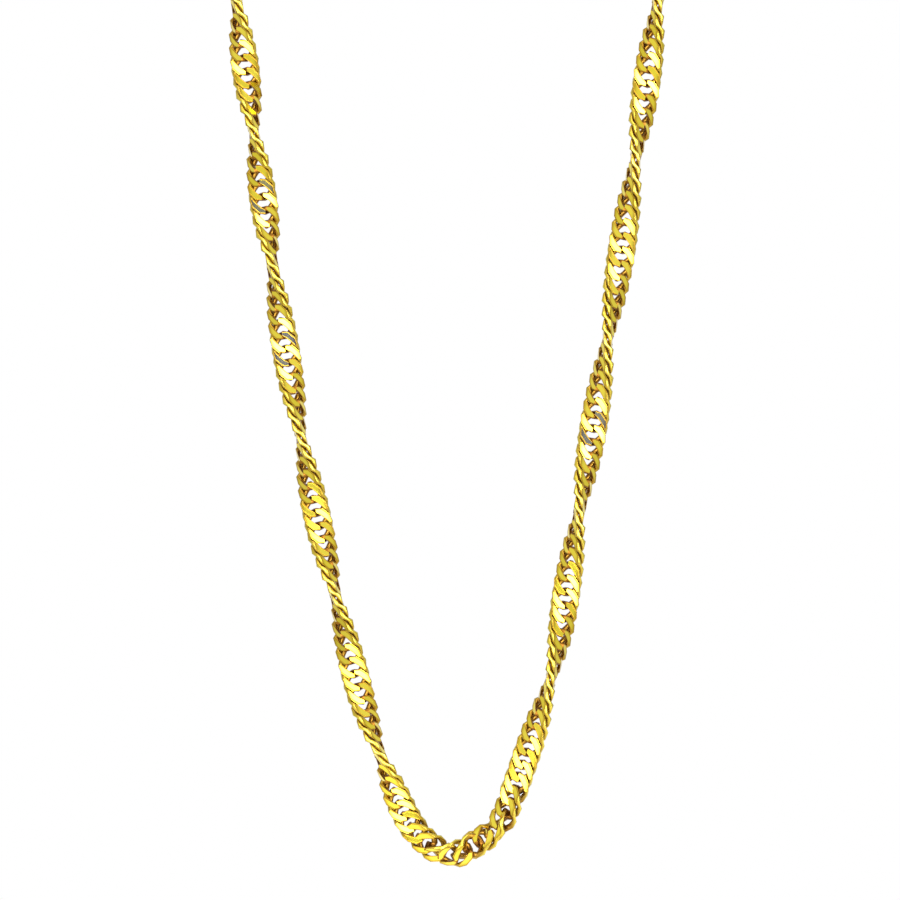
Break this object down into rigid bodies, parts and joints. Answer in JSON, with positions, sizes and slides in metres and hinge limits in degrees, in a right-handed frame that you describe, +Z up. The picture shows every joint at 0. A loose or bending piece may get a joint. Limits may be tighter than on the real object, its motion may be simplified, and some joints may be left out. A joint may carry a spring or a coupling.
{
  "type": "singapore chain necklace",
  "caption": "Gold necklace of twisted, flat-cut curb links, hanging in a V from the nape, closed behind the neck by a plain ring clasp.",
  "frame": {"origin": "the point at the nape where the back of the neck bears on the inside of the necklace, level with the clasp", "axes": "+Z up, the V hangs down along -Z at the front of the neck, which is -Y; +X is the picture's right, the wearer's left"},
  "size_m": [0.1106, 0.118, 0.1904],
  "materials": {
    "chain_gold": "polished gold plate, flat faces cut bright",
    "clasp_gold": "polished gold plate"
  },
  "bodies": {
    "root": {"chain_left": "chain_gold", "chain_right": "chain_gold", "clasp": "clasp_gold"}
  },
  "joints": []
}
